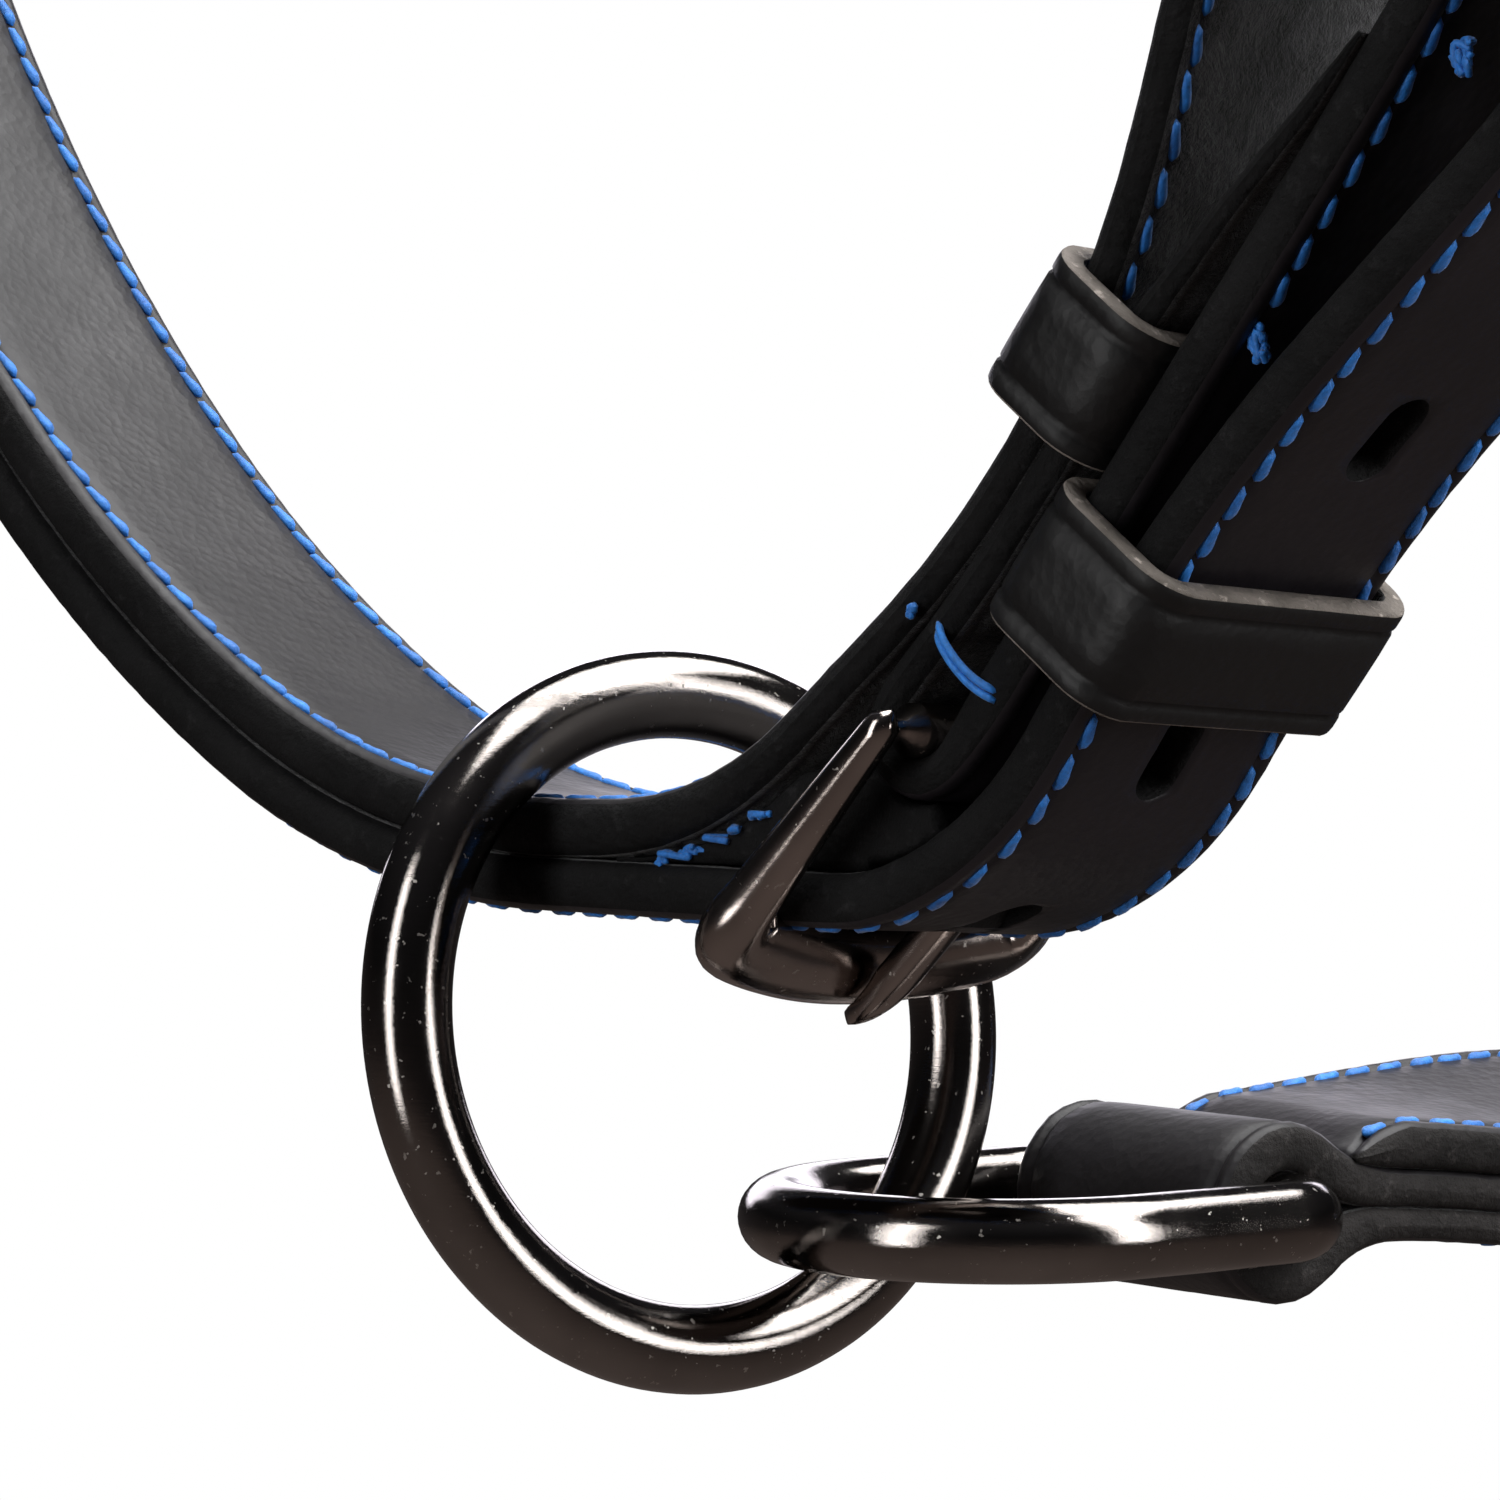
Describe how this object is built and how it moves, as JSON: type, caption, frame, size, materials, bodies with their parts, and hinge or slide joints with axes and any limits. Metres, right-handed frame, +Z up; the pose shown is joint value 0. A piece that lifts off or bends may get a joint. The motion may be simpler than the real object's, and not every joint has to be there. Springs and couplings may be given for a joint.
{
  "type": "martingale",
  "caption": "Leather martingale: a buckled neck strap with a free round chest ring and a D-ring body strap that runs back to a buckled girth loop.",
  "frame": {"origin": "middle of the neck strap's inner face at the crown of the neck loop", "axes": "+Z up, +X along the foot of the neck loop towards the buckle, +Y back along the body strap to the girth"},
  "size_m": [0.2152, 0.5987, 0.4597],
  "materials": {
    "strap_leather": "waxed black bridle leather",
    "lining_leather": "waxed black leather with a grey flesh side",
    "keeper_leather": "thin black leather, creased",
    "thread": "waxed blue thread",
    "ring_metal": "polished black nickel",
    "buckle_metal": "polished black nickel"
  },
  "bodies": {
    "neck": {"neck_strap": "strap_leather", "guard_strap": "lining_leather", "guard_keeper": "keeper_leather", "neck_keeper": "keeper_leather", "fold_tack": "thread"},
    "neck_slider": {"neck_running_keeper": "keeper_leather"},
    "neck_buckle": {"neck_buckle_frame": "buckle_metal", "neck_heel_bar": "buckle_metal"},
    "neck_tongue": {"neck_buckle_tongue": "buckle_metal"},
    "ring": {"chest_ring": "ring_metal"},
    "dee": {"d_ring": "ring_metal"},
    "body": {"body_strap": "strap_leather", "body_top_layer": "strap_leather", "girth_strap": "lining_leather", "girth_chape": "lining_leather", "girth_keeper": "keeper_leather"},
    "girth_slider": {"girth_running_keeper": "keeper_leather"},
    "girth_buckle": {"girth_buckle_frame": "buckle_metal", "girth_heel_bar": "buckle_metal"},
    "girth_tongue": {"girth_buckle_tongue": "buckle_metal"}
  },
  "joints": [
    {"name": "neck_keeper_slide", "type": "slide", "parent": "neck", "child": "neck_slider", "axis": [0, 0, 1], "range_m": [-0.028, 0.034]},
    {"name": "neck_buckle_hinge", "type": "hinge", "parent": "neck", "child": "neck_buckle", "pos_m": [0.03059, 0, -0.41996], "axis": [0, -1, 0], "range_deg": [0, 1.5]},
    {"name": "neck_tongue_hinge", "type": "hinge", "parent": "neck_buckle", "child": "neck_tongue", "pos_m": [0.03059, 0, -0.41996], "axis": [0, -1, 0], "range_deg": [0, 1.5]},
    {"name": "ring_swing", "type": "hinge", "parent": "neck", "child": "ring", "pos_m": [0.00639, 0, -0.42316], "axis": [-0.225, -0.9744, 0], "range_deg": [-15, 10]},
    {"name": "dee_swing", "type": "hinge", "parent": "ring", "child": "dee", "pos_m": [0.00639, 0, -0.43586], "axis": [-0.969, 0.2237, -0.1045], "range_deg": [-25, 20]},
    {"name": "body_strap_swing", "type": "hinge", "parent": "dee", "child": "body", "pos_m": [0.02009, 0.0278, -0.44566], "axis": [0.986, -0.1632, -0.0349], "range_deg": [-60, 45]},
    {"name": "girth_keeper_slide", "type": "slide", "parent": "body", "child": "girth_slider", "axis": [0.1649, 0.9849, 0.0523], "range_m": [-0.018, 0.01]},
    {"name": "girth_buckle_hinge", "type": "hinge", "parent": "body", "child": "girth_buckle", "pos_m": [0.09122, 0.45082, -0.41458], "axis": [0.986, -0.1632, -0.0349], "range_deg": [0, 1.5]},
    {"name": "girth_tongue_hinge", "type": "hinge", "parent": "girth_buckle", "child": "girth_tongue", "pos_m": [0.09122, 0.45082, -0.41458], "axis": [0.986, -0.1632, -0.0349], "range_deg": [0, 1.5]}
  ]
}
